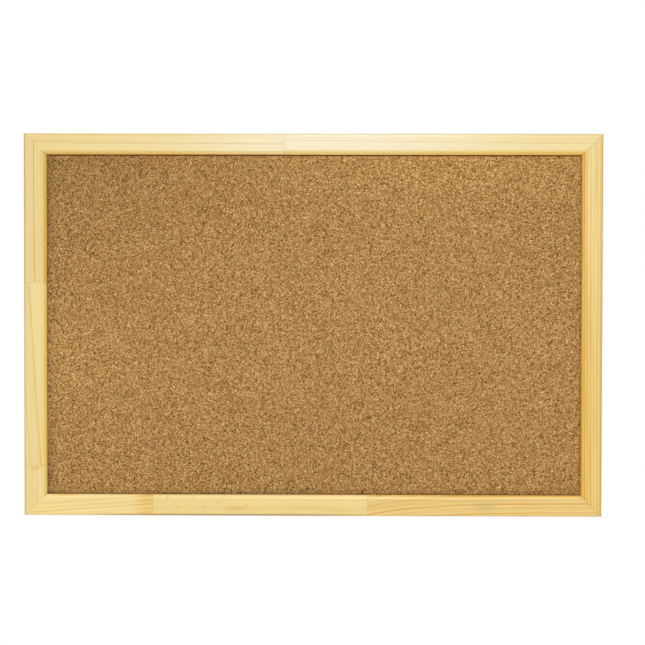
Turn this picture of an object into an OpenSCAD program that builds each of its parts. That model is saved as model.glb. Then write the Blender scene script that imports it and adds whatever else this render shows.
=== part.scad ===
// Wall-hung cork bulletin board: a mitred, finger-jointed pine frame round a
// cork-faced panel, held from behind by framer's points and hung by D-rings.
// The wall plane is y = 0, the bottom edge is z = 0, x = 0 is the middle,
// and the pinning face looks along -y.

/* [Board] */
// Overall width of the frame
board_w = 600; // [600:10:900]
// Overall height of the frame
board_h = 397; // [397:1:600]

/* [Rails] */
// Width of a rail seen from the front
rail_w = 22; // [21:0.5:30]
// Depth of a rail from the wall to the front face
rail_d = 16; // [15.5:0.5:20]
// How far the front lip reaches over the edge of the panel
lip_over = 8; // [6:0.5:8]
// Thickness of the front lip over the panel
lip_t = 5.5; // [5:0.1:6]
// Rounding of the outer front edge
outer_r = 2.5; // [1:0.1:4]
// Rounding of the inner front edge, down towards the cork
inner_r = 4; // [2:0.1:4.5]

/* [Finger joints] */
// Top rail joint, from the middle, to the right
top_joint = -30; // [-40:1:40]
// Bottom rail first joint, from the middle, to the right
bottom_joint_a = -166; // [-190:1:-110]
// Bottom rail second joint, from the middle, to the right
bottom_joint_b = 57; // [40:1:59]
// Left rail upper joint, above the middle of the rail
left_joint_a = 44; // [30:1:60]
// Left rail lower joint, above the middle of the rail
left_joint_b = -147; // [-150:1:-140]
// Length of a finger
finger_l = 10; // [6:0.5:12]
// Pitch of the fingers
finger_p = 3.7; // [3:0.1:4]
// Flat on the tip of each finger
finger_flat = 0.5; // [0.3:0.1:0.8]
// Thickness of the square shoulder at the front face
shoulder_t = 4.6; // [4.6:0.1:5]

/* [Panel] */
// Thickness of the cork sheet
cork_t = 2.5; // [2:0.1:3]
// Thickness of the soft core board behind the cork
core_t = 3.5; // [3:0.1:3.6]
// Thickness of the hardboard back
back_t = 2; // [1.5:0.1:2.2]
// Gap between the panel and the rebate all round
panel_gap = 0.5; // [0.3:0.1:1]

/* [Fixings] */
// Height of a corner V-nail
vnail_h = 8; // [6:0.5:10]
// Length of each leg of a V-nail
vnail_l = 4; // [3:0.5:4]
// Thickness of the V-nail strip
vnail_t = 0.5; // [0.3:0.1:0.6]
// Thickness of a framer's point
point_t = 0.5; // [0.4:0.1:0.8]
// Width of a framer's point
point_w = 9; // [7:0.5:10]
// Depth of a framer's point in the wood
point_in = 6; // [4:0.5:6.5]
// Length of a framer's point over the back board
point_out = 8; // [6:0.5:10]

/* [Hangers] */
// Height of the D-ring pivots above the bottom edge
hanger_z = 292; // [280:1:295]
// Distance of each hanger from the outer side of its rail
hanger_in = 7; // [7:0.1:7.4]
// Width of the hanger strap
strap_w = 7; // [6:0.5:7]
// Thickness of the hanger strap
strap_t = 0.8; // [0.6:0.1:1]
// Diameter of the D-ring wire
wire_d = 2; // [1.6:0.1:2]
// Running clearance round the wire in the strap's eye
eye_fit = 0.05; // [0.03:0.01:0.08]
// Half width of the D-ring between wire centres
ring_half_w = 5.5; // [5.5:0.1:5.8]
// Length of the straight legs of the D-ring
ring_leg = 1.75; // [1:0.25:2]
// Diameter of the hanger screw
screw_d = 3; // [2.5:0.1:3]
// Length of the hanger screw in the wood
screw_l = 12; // [8:0.5:12.5]

/* [Hidden] */

hw = board_w / 2;                       // half width
hh = board_h / 2;                       // half height
rebate_d = rail_d - lip_t;              // depth of the rebate from the back
wall_u = rail_w - lip_over;             // width of wood behind the rebate
cork_y = -rebate_d;                     // front face of the cork
core_y = cork_y + cork_t;               // joint between cork and core
back_y = core_y + core_t;               // joint between core and hardboard
rear_y = back_y + back_t;               // rear face of the hardboard
panel_w = board_w - 2 * (wall_u + panel_gap);
panel_h = board_h - 2 * (wall_u + panel_gap);

wire_r = wire_d / 2;
eye_r = wire_r + eye_fit;               // inside of the strap's eye
eye_y = strap_t + eye_r;                // pivot distance behind the rail
fold_gap = 0.05;                        // gap between the strap's two layers
layer2_y = strap_t + fold_gap;          // inner face of the outer layer
strap_top = layer2_y + strap_t;         // outer face of the strap
screw_dz = 13.5;                        // screw below the pivot
strap_l = screw_dz + strap_w / 2 + 1.5; // strap below the pivot
elbow_r = 1.75;                         // bend of the D-ring at its bar
head_r = 2.8;                           // screw head
head_h = 2.1;
tip_l = 3;                              // tapered tip of the screw

point_xs = [-210, -80, 80, 210];        // points on the long rails
point_zs = [-120, 0, 120];              // points on the short rails
vnail_us = [wall_u - 7.5, wall_u - 2];  // V-nails along each mitre

wood_a = [0.945, 0.875, 0.70];
wood_b = [0.95, 0.90, 0.76];
wood_c = [0.92, 0.81, 0.56];
wood_d = [0.925, 0.80, 0.50];
steel = [0.72, 0.73, 0.75];

// ---------- rail stock ----------

// what a round-over takes off a corner whose solid lies towards +x, +y
module arris(r) {
    difference() {
        translate([-1, -1]) square([r + 1, r + 1]);
        translate([r, r]) circle(r = r, $fn = 64);
    }
}

// section of a rail: x is depth from the wall, y runs from the outer edge inwards
module rail_section() {
    difference() {
        translate([-rail_d, 0]) square([rail_d, rail_w]);
        translate([-rebate_d, wall_u]) square([rebate_d + 1, lip_over + 1]);
        translate([-rail_d, 0]) arris(outer_r);
        translate([-rail_d, rail_w]) mirror([0, 1]) arris(inner_r);
    }
}

// shoulder and fingers of a joint at x, from the front face to the back
function finger_half() = finger_p / 2;
function finger_n() = 2 * floor((rail_d - shoulder_t) / finger_p);
function finger_v(i) = -rail_d + shoulder_t + i * finger_half();
function finger_pts(x) = concat(
    [[x, -rail_d - 1], [x, finger_v(0) + finger_flat / 2]],
    [for (i = [1 : finger_n() - 1]) for (s = [-1, 1])
        [x + (i % 2 == 1 ? finger_l : 0), finger_v(i) + s * finger_flat / 2]],
    [[x, finger_v(finger_n()) - finger_flat / 2], [x, 1]]);
function plain_pts(x) = [[x, -rail_d - 1], [x, 1]];
function flip(p) = [for (i = [len(p) - 1 : -1 : 0]) p[i]];

// one block of a rail of length l, between two ends, laid along x with its
// outer edge at z = 0; the frame's corners are mitred
module rail_block(l, from, to) {
    intersection() {
        translate([-l / 2, 0, 0]) rotate([90, 0, 90]) linear_extrude(l) rail_section();
        translate([0, 1, 0]) rotate([90, 0, 0]) linear_extrude(rail_d + 2)
            polygon([[-l / 2, 0], [l / 2, 0], [l / 2 - rail_w, rail_w], [-l / 2 + rail_w, rail_w]]);
        translate([0, 0, -1]) linear_extrude(rail_w + 2)
            polygon(concat(from, flip(to)));
    }
}

// ---------- fixings as solids, used for the pieces and for their seats ----------

// a 90 degree V-nail whose point faces the middle of the board
module v_nail(u) {
    translate([u, 0, u]) rotate([90, 0, 0]) linear_extrude(vnail_h)
        polygon([[0, 0], [-vnail_l, 0], [-vnail_l, -vnail_t], [-vnail_t, -vnail_t],
                 [-vnail_t, -vnail_l], [0, -vnail_l]]);
}

// the two V-nails of one corner: sx is -1 left, 1 right; sz is -1 bottom, 1 top
module corner_nails(sx, sz) {
    translate([sx * hw, 0, sz > 0 ? board_h : 0])
        mirror([sx > 0 ? 1 : 0, 0, 0]) mirror([0, 0, sz > 0 ? 1 : 0])
            for (u = vnail_us) v_nail(u);
}

// a framer's point at x along a rail laid with its outer edge at z = 0
module point_at(x) {
    translate([x, rear_y + point_t, wall_u]) rotate([90, 0, 0]) linear_extrude(point_t)
        polygon([[0, -point_in], [point_w / 2, -point_in + 3], [point_w / 2, point_out - 1.5],
                 [point_w / 2 - 1.5, point_out], [-point_w / 2 + 1.5, point_out],
                 [-point_w / 2, point_out - 1.5], [-point_w / 2, -point_in + 3]]);
}

module at_top() { translate([0, 0, board_h]) rotate([0, 180, 0]) children(); }
module at_left() { translate([-hw, 0, hh]) rotate([0, 90, 0]) children(); }
module at_right() { translate([hw, 0, hh]) rotate([0, -90, 0]) children(); }

// shank and tip of a hanger screw in the wood, x toward the wall side
module screw_shank(extra) {
    rotate([90, 0, 0]) {
        translate([0, 0, -extra]) cylinder(h = screw_l - tip_l + extra, d = screw_d, $fn = 48);
        translate([0, 0, screw_l - tip_l]) cylinder(h = tip_l, d1 = screw_d, d2 = 0.6, $fn = 48);
    }
}
module screw_place(s) { translate([s * (hw - hanger_in), 0, hanger_z - screw_dz]) children(); }

// ---------- wood ----------

module top_rail_left_block() {
    color(wood_a) difference() {
        at_top() rail_block(board_w, finger_pts(-top_joint), plain_pts(hw));
        corner_nails(-1, 1);
        at_top() { point_at(210); point_at(80); }
    }
}
module top_rail_right_block() {
    color(wood_b) difference() {
        at_top() rail_block(board_w, plain_pts(-hw), finger_pts(-top_joint));
        corner_nails(1, 1);
        at_top() { point_at(-210); point_at(-80); }
    }
}
module bottom_rail_left_block() {
    color(wood_c) difference() {
        rail_block(board_w, plain_pts(-hw), finger_pts(bottom_joint_a));
        corner_nails(-1, -1);
        point_at(-210);
    }
}
module bottom_rail_middle_block() {
    color(wood_a) difference() {
        rail_block(board_w, finger_pts(bottom_joint_a), finger_pts(bottom_joint_b));
        point_at(-80);
    }
}
module bottom_rail_right_block() {
    color(wood_d) difference() {
        rail_block(board_w, finger_pts(bottom_joint_b), plain_pts(hw));
        corner_nails(1, -1);
        point_at(80);
        point_at(210);
    }
}
module left_rail_upper_block() {
    color(wood_c) difference() {
        at_left() rail_block(board_h, plain_pts(-hh), finger_pts(-left_joint_a));
        corner_nails(-1, 1);
        at_left() point_at(-120);
        screw_place(-1) screw_shank(1);
    }
}
module left_rail_middle_block() {
    color(wood_a) difference() {
        at_left() rail_block(board_h, finger_pts(-left_joint_a), finger_pts(-left_joint_b));
        at_left() { point_at(0); point_at(120); }
    }
}
module left_rail_lower_block() {
    color(wood_b) difference() {
        at_left() rail_block(board_h, finger_pts(-left_joint_b), plain_pts(hh));
        corner_nails(-1, -1);
    }
}
module right_rail() {
    color(wood_d) difference() {
        at_right() rail_block(board_h, plain_pts(-hh), plain_pts(hh));
        corner_nails(1, 1);
        corner_nails(1, -1);
        at_right() for (x = point_zs) point_at(x);
        screw_place(1) screw_shank(1);
    }
}

// ---------- panel ----------

module slab(y, t) {
    translate([-panel_w / 2, y, wall_u + panel_gap]) cube([panel_w, t, panel_h]);
}
module cork_sheet() { color([0.66, 0.49, 0.29]) slab(cork_y, cork_t); }
module core_board() { color([0.80, 0.74, 0.62]) slab(core_y, core_t); }
module backing_board() { color([0.47, 0.32, 0.20]) slab(back_y, back_t); }

// ---------- fixings ----------

module v_nails() {
    color(steel) for (sx = [-1, 1]) for (sz = [-1, 1]) corner_nails(sx, sz);
}

module framers_points() {
    color(steel) {
        for (x = point_xs) { point_at(x); at_top() point_at(x); }
        for (x = point_zs) { at_left() point_at(x); at_right() point_at(x); }
    }
}

// the folded strap before it is trimmed: x is across, y is distance behind the
// rail, and z runs up from the pivot
function polar(r, a) = [eye_y + r * cos(a), r * sin(a)];
module across(w) { translate([-w / 2, 0, 0]) rotate([90, 0, 90]) linear_extrude(w) children(); }
module strap_fold(w) {
    po = polar(eye_r + strap_t, -45);
    pi = polar(eye_r, -45);
    y2 = po[1] - (po[0] - strap_top);
    // inner layer, on the wood
    translate([-w / 2, 0, -strap_l]) cube([w, strap_t, strap_l]);
    // outer layer
    translate([-w / 2, layer2_y, -strap_l]) cube([w, strap_t, strap_l - 2.6]);
    // the eye, open below where the two layers leave it
    difference() {
        translate([-w / 2, eye_y, 0]) rotate([0, 90, 0]) cylinder(h = w, r = eye_r + strap_t, $fn = 96);
        translate([-w, eye_y, 0]) rotate([0, 90, 0]) cylinder(h = 2 * w, r = eye_r, $fn = 96);
        across(2 * w) polygon([[eye_y, 0], [eye_y + 3, -3], [strap_t, -3], [strap_t, 0]]);
    }
    // the ramp down from the eye to the outer layer
    across(w) polygon([pi, polar(eye_r + strap_t / 2, -30), po,
                       [strap_top, y2], [layer2_y, y2],
                       [layer2_y, pi[1] - (pi[0] - layer2_y)]]);
}

module hanger_strap(s) {
    color(steel) translate([s * (hw - hanger_in), 0, hanger_z]) difference() {
        strap_fold(strap_w);
        // rounded tail
        translate([0, 6, -strap_l]) rotate([90, 0, 0]) linear_extrude(8) difference() {
            translate([-strap_w, -1]) square([2 * strap_w, strap_w / 2 + 1]);
            translate([0, strap_w / 2]) circle(d = strap_w, $fn = 96);
        }
        translate([0, 5, -screw_dz]) rotate([90, 0, 0]) cylinder(h = 8, d = screw_d + 0.2, $fn = 64);
    }
}
module hanger_strap_left() { hanger_strap(-1); }
module hanger_strap_right() { hanger_strap(1); }

// pan-head screw with a cross recess
module hanger_screw(s) {
    color(steel) screw_place(s) {
        difference() {
            union() {
                translate([0, strap_top, 0]) rotate([-90, 0, 0]) intersection() {
                    cylinder(h = head_h, r = head_r, $fn = 64);
                    translate([0, 0, head_h - 3.4]) sphere(r = 3.4, $fn = 64);
                }
                screw_shank(strap_top);
            }
            translate([0, strap_top + head_h - 0.6, 0]) for (a = [0, 90]) rotate([0, a, 0])
                cube([3.2, 1.4, 0.7], center = true);
        }
    }
}
module hanger_screw_left() { hanger_screw(-1); }
module hanger_screw_right() { hanger_screw(1); }

// D-ring standing up from its bar, which lies along x through the origin
module d_ring(s) {
    color(steel) translate([s * (hw - hanger_in), eye_y, hanger_z]) {
        bx = ring_half_w - elbow_r;
        translate([-bx, 0, 0]) rotate([0, 90, 0]) cylinder(h = 2 * bx, r = wire_r, $fn = 48);
        for (k = [-1, 1])
            translate([k * ring_half_w, 0, elbow_r]) cylinder(h = ring_leg, r = wire_r, $fn = 48);
        rotate([90, 0, 0]) {
            translate([bx, elbow_r, 0]) rotate([0, 0, -90])
                rotate_extrude(angle = 90, $fn = 96) translate([elbow_r, 0]) circle(r = wire_r, $fn = 48);
            translate([-bx, elbow_r, 0]) rotate([0, 0, 180])
                rotate_extrude(angle = 90, $fn = 96) translate([elbow_r, 0]) circle(r = wire_r, $fn = 48);
            translate([0, elbow_r + ring_leg, 0])
                rotate_extrude(angle = 180, $fn = 96) translate([ring_half_w, 0]) circle(r = wire_r, $fn = 48);
        }
    }
}
module d_ring_left() { d_ring(-1); }
module d_ring_right() { d_ring(1); }

top_rail_left_block();
top_rail_right_block();
bottom_rail_left_block();
bottom_rail_middle_block();
bottom_rail_right_block();
left_rail_upper_block();
left_rail_middle_block();
left_rail_lower_block();
right_rail();
cork_sheet();
core_board();
backing_board();
v_nails();
framers_points();
hanger_strap_left();
hanger_strap_right();
hanger_screw_left();
hanger_screw_right();
d_ring_left();
d_ring_right();
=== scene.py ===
import math

import bmesh
import bpy
import numpy as np
from mathutils import Matrix, Vector


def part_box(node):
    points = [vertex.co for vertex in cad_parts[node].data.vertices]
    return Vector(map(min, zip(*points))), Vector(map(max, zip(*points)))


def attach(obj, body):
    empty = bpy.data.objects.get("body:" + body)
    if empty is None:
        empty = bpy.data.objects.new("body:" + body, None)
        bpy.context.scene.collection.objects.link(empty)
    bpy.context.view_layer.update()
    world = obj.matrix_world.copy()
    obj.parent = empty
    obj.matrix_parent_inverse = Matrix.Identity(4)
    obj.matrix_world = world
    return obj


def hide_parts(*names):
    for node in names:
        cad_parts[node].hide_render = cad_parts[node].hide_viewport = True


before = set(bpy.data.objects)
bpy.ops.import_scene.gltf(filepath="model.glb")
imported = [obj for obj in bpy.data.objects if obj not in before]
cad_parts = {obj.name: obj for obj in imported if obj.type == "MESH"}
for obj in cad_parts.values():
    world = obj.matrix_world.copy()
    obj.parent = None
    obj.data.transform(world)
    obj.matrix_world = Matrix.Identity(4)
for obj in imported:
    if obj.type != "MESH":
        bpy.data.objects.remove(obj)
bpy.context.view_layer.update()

MM = 0.001

# ------------------------------------------------------------------ sizes, from the frame (mm)


def box_mm(node):
    lo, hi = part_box(node)
    return np.array(lo) * 1000, np.array(hi) * 1000


rr_lo, rr_hi = box_mm("right_rail")
ck_lo, ck_hi = box_mm("cork_sheet")
bb_lo, bb_hi = box_mm("backing_board")
HW = rr_hi[0]                      # half width of the board
H = rr_hi[2]                       # height
D = -rr_lo[1]                      # rail depth
RW = rr_hi[0] - rr_lo[0]           # rail width
VC = -ck_lo[1]                     # cork's face above the wall plane
GAP = 0.5
UW = HW - ck_hi[0] - GAP           # wood behind the rebate
VB = -bb_hi[1]                     # rear of the hardboard
R_OUT, R_IN = 2.5, 4.0
SHOULDER, F_L, F_H, F_FLAT = 4.6, 10.0, 1.85, 0.5
F_N = 2 * int((D - SHOULDER) / (2 * F_H))
V_SH = D - SHOULDER

X_TOP = box_mm("top_rail_right_block")[0][0] + F_L      # joint lines on the face
X_BOT_A = box_mm("bottom_rail_middle_block")[0][0]
X_BOT_B = box_mm("bottom_rail_right_block")[0][0]
Z_LEFT_A = box_mm("left_rail_upper_block")[0][2] + F_L
Z_LEFT_B = box_mm("left_rail_middle_block")[0][2] + F_L


def finger(v):
    """How far the joint runs past its line at depth v."""
    p = max(V_SH - v, 0.0) / F_H
    if p <= 0 or p >= F_N:
        return 0.0
    q = p % 2
    t = q if q <= 1 else 2 - q
    lo = 0.5 * F_FLAT / F_H
    return F_L * min(max((t - lo) / (1 - 2 * lo), 0.0), 1.0)


# ------------------------------------------------------------------ mesh helpers


def new_object(name, verts, faces, smooth_deg=32):
    """A mesh piece from points in millimetres, in the row frame."""
    me = bpy.data.meshes.new(name)
    me.from_pydata([tuple(float(c) * MM for c in v) for v in verts], [], faces)
    me.validate()
    ob = bpy.data.objects.new(name, me)
    bpy.context.scene.collection.objects.link(ob)
    tidy(ob, smooth_deg)
    return ob


def tidy(ob, smooth_deg=32, outward=True):
    bm = bmesh.new()
    bm.from_mesh(ob.data)
    if outward:
        bmesh.ops.recalc_face_normals(bm, faces=bm.faces)
    lim = math.radians(smooth_deg)
    for f in bm.faces:
        f.smooth = True
    for e in bm.edges:
        e.smooth = not (len(e.link_faces) == 2 and e.calc_face_angle(0) > lim)
    bm.to_mesh(ob.data)
    bm.free()
    ob.data.update()


def bake_modifiers(ob, smooth_deg=32):
    """Applies an object's modifiers to its mesh."""
    bpy.context.view_layer.update()
    dg = bpy.context.evaluated_depsgraph_get()
    me = bpy.data.meshes.new_from_object(ob.evaluated_get(dg))
    old = ob.data
    ob.modifiers.clear()
    ob.data = me
    me.name = ob.name
    bpy.data.meshes.remove(old)
    tidy(ob, smooth_deg)


def bevel(ob, width, segments=2, angle=30, smooth_deg=40):
    m = ob.modifiers.new("bevel", "BEVEL")
    m.width = width * MM
    m.segments = segments
    m.limit_method = "ANGLE"
    m.angle_limit = math.radians(angle)
    m.use_clamp_overlap = True
    bake_modifiers(ob, smooth_deg)


def cut(ob, cutter, smooth_deg=32, op="DIFFERENCE"):
    m = ob.modifiers.new("cut", "BOOLEAN")
    m.operation = op
    m.solver = "EXACT"
    m.object = cutter
    bake_modifiers(ob, smooth_deg)


def prism(name, poly, lo, hi, place):
    """Closed prism: a 2-D outline carried from lo to hi; place maps (a, b, h) to x, y, z."""
    n = len(poly)
    verts = [place(a, b, lo) for a, b in poly] + [place(a, b, hi) for a, b in poly]
    faces = [tuple(range(n))[::-1], tuple(range(n, 2 * n))]
    faces += [(i, (i + 1) % n, n + (i + 1) % n, n + i) for i in range(n)]
    return verts, faces


def joined(name, parts, smooth_deg=32):
    verts, faces = [], []
    for v, f in parts:
        k = len(verts)
        verts += list(v)
        faces += [tuple(i + k for i in g) for g in f]
    return new_object(name, verts, faces, smooth_deg)


def lathe(profile, n, place):
    """Closed solid of revolution from (radius, height) points whose ends lie on the axis."""
    verts, faces, rings = [], [], []
    for r, h in profile:
        if r < 1e-6:
            rings.append([len(verts)])
            verts.append(place(0, 0, h))
        else:
            ids = []
            for i in range(n):
                a = 2 * math.pi * i / n
                ids.append(len(verts))
                verts.append(place(r * math.cos(a), r * math.sin(a), h))
            rings.append(ids)
    for p, q in zip(rings[:-1], rings[1:]):
        if len(p) == 1 and len(q) == 1:
            continue
        for i in range(n):
            j = (i + 1) % n
            if len(p) == 1:
                faces.append((p[0], q[i], q[j]))
            elif len(q) == 1:
                faces.append((p[i], p[j], q[0]))
            else:
                faces.append((p[i], p[j], q[j], q[i]))
    return verts, faces


# ------------------------------------------------------------------ node graphs


def lin(c):
    """sRGB 0-255 to linear RGBA."""
    out = []
    for x in c:
        x = x / 255.0
        out.append(x / 12.92 if x <= 0.04045 else ((x + 0.055) / 1.055) ** 2.4)
    return (out[0], out[1], out[2], 1.0)


class S:
    """A socket that can be used in arithmetic."""

    def __init__(self, g, s):
        self.g, self.s = g, s

    def __add__(self, o): return self.g.m("ADD", self, o)
    def __radd__(self, o): return self.g.m("ADD", o, self)
    def __sub__(self, o): return self.g.m("SUBTRACT", self, o)
    def __rsub__(self, o): return self.g.m("SUBTRACT", o, self)
    def __mul__(self, o): return self.g.m("MULTIPLY", self, o)
    def __rmul__(self, o): return self.g.m("MULTIPLY", o, self)
    def __truediv__(self, o): return self.g.m("DIVIDE", self, o)
    def __neg__(self): return self.g.m("MULTIPLY", self, -1.0)


class G:
    """One material's node graph."""

    def __init__(self, name):
        self.mat = bpy.data.materials.new(name)
        self.mat.use_nodes = True
        self.nt = self.mat.node_tree
        self.nt.nodes.clear()
        self.out = self.n("ShaderNodeOutputMaterial")
        self.p = self.n("ShaderNodeBsdfPrincipled")
        self.nt.links.new(self.p.outputs[0], self.out.inputs[0])

    def n(self, kind, **kw):
        nd = self.nt.nodes.new(kind)
        for k, v in kw.items():
            setattr(nd, k, v)
        return nd

    def put(self, sock, v):
        if isinstance(v, S):
            self.nt.links.new(v.s, sock)
        else:
            sock.default_value = v

    def set(self, name, v):
        self.put(self.p.inputs[name], v)

    def m(self, op, *a, clamp=False):
        nd = self.n("ShaderNodeMath", operation=op, use_clamp=clamp)
        for i, x in enumerate(a):
            self.put(nd.inputs[i], x)
        return S(self, nd.outputs[0])

    def mx(self, a, b): return self.m("MAXIMUM", a, b)
    def mn(self, a, b): return self.m("MINIMUM", a, b)
    def ab(self, a): return self.m("ABSOLUTE", a)
    def ex(self, a): return self.m("EXPONENT", a)
    def clamp(self, a): return self.m("ADD", a, 0.0, clamp=True)

    def step(self, x, a, b, lo=0.0, hi=1.0):
        """Smoothstep of x from a to b, giving lo to hi."""
        nd = self.n("ShaderNodeMapRange", interpolation_type="SMOOTHSTEP")
        for k, v in (("Value", x), ("From Min", a), ("From Max", b), ("To Min", lo), ("To Max", hi)):
            self.put(nd.inputs[k], v)
        return S(self, nd.outputs[0])

    def xyz(self):
        """Position in millimetres in the row frame."""
        tc = self.n("ShaderNodeTexCoord")
        sp = self.n("ShaderNodeSeparateXYZ")
        self.nt.links.new(tc.outputs["Object"], sp.inputs[0])
        return [S(self, sp.outputs[i]) * 1000.0 for i in range(3)]

    def vec(self, a, b, c):
        nd = self.n("ShaderNodeCombineXYZ")
        for i, x in enumerate((a, b, c)):
            self.put(nd.inputs[i], x)
        return S(self, nd.outputs[0])

    def noise(self, v, scale=1.0, detail=2.0, rough=0.5, color=False, distortion=0.0):
        nd = self.n("ShaderNodeTexNoise")
        self.put(nd.inputs["Vector"], v)
        self.put(nd.inputs["Scale"], scale)
        self.put(nd.inputs["Detail"], detail)
        self.put(nd.inputs["Roughness"], rough)
        self.put(nd.inputs["Distortion"], distortion)
        return S(self, nd.outputs["Color" if color else 0])

    def voronoi(self, v, scale=1.0, feature="F1", randomness=1.0, flat=False):
        nd = self.n("ShaderNodeTexVoronoi", feature=feature, voronoi_dimensions="2D" if flat else "3D")
        self.put(nd.inputs["Vector"], v)
        self.put(nd.inputs["Scale"], scale)
        self.put(nd.inputs["Randomness"], randomness)
        return nd

    def white(self, w):
        nd = self.n("ShaderNodeTexWhiteNoise", noise_dimensions="1D")
        self.put(nd.inputs["W"], w)
        return S(self, nd.outputs["Value"])

    def split(self, c):
        nd = self.n("ShaderNodeSeparateColor")
        self.put(nd.inputs[0], c)
        return [S(self, nd.outputs[i]) for i in range(3)]

    def vadd(self, a, b, scale=1.0):
        nd = self.n("ShaderNodeVectorMath", operation="MULTIPLY_ADD")
        self.put(nd.inputs[0], b)
        nd.inputs[1].default_value = (scale, scale, scale)
        self.put(nd.inputs[2], a)
        return S(self, nd.outputs[0])

    def mix(self, f, a, b, mode="MIX"):
        nd = self.n("ShaderNodeMix", data_type="RGBA", blend_type=mode)
        self.put(nd.inputs[0], f)
        self.put(nd.inputs[6], a)
        self.put(nd.inputs[7], b)
        return S(self, nd.outputs[2])

    def scale(self, c, f):
        """Colour times a number."""
        nd = self.n("ShaderNodeVectorMath", operation="SCALE")
        self.put(nd.inputs[0], c)
        self.put(nd.inputs["Scale"], f)
        return S(self, nd.outputs[0])

    def gain(self, c, k):
        """Colour times a colour."""
        nd = self.n("ShaderNodeVectorMath", operation="MULTIPLY")
        self.put(nd.inputs[0], c)
        nd.inputs[1].default_value = k
        return S(self, nd.outputs[0])

    def ramp(self, f, stops, mode="LINEAR"):
        nd = self.n("ShaderNodeValToRGB")
        nd.color_ramp.interpolation = mode
        el = nd.color_ramp.elements
        while len(el) < len(stops):
            el.new(0.5)
        for e, (p, c) in zip(el, stops):
            e.position = p
            e.color = c
        self.put(nd.inputs[0], f)
        return S(self, nd.outputs[0])

    def bump(self, height_mm, strength=1.0):
        nd = self.n("ShaderNodeBump")
        nd.inputs["Strength"].default_value = strength
        nd.inputs["Distance"].default_value = MM
        self.put(nd.inputs["Height"], height_mm)
        self.nt.links.new(nd.outputs[0], self.p.inputs["Normal"])


# ------------------------------------------------------------------ pine

RAILS = {
    "top": (1, lambda l, u, v: (l, -v, H - u)),
    "bottom": (1, lambda l, u, v: (l, -v, u)),
    "left": (0, lambda l, u, v: (-HW + u, -v, l)),
    "right": (0, lambda l, u, v: (HW - u, -v, l)),
}


WIDE, WIDE_0 = 1.7, RW - 6.0          # the left rail's extra width, and where it starts


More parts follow.
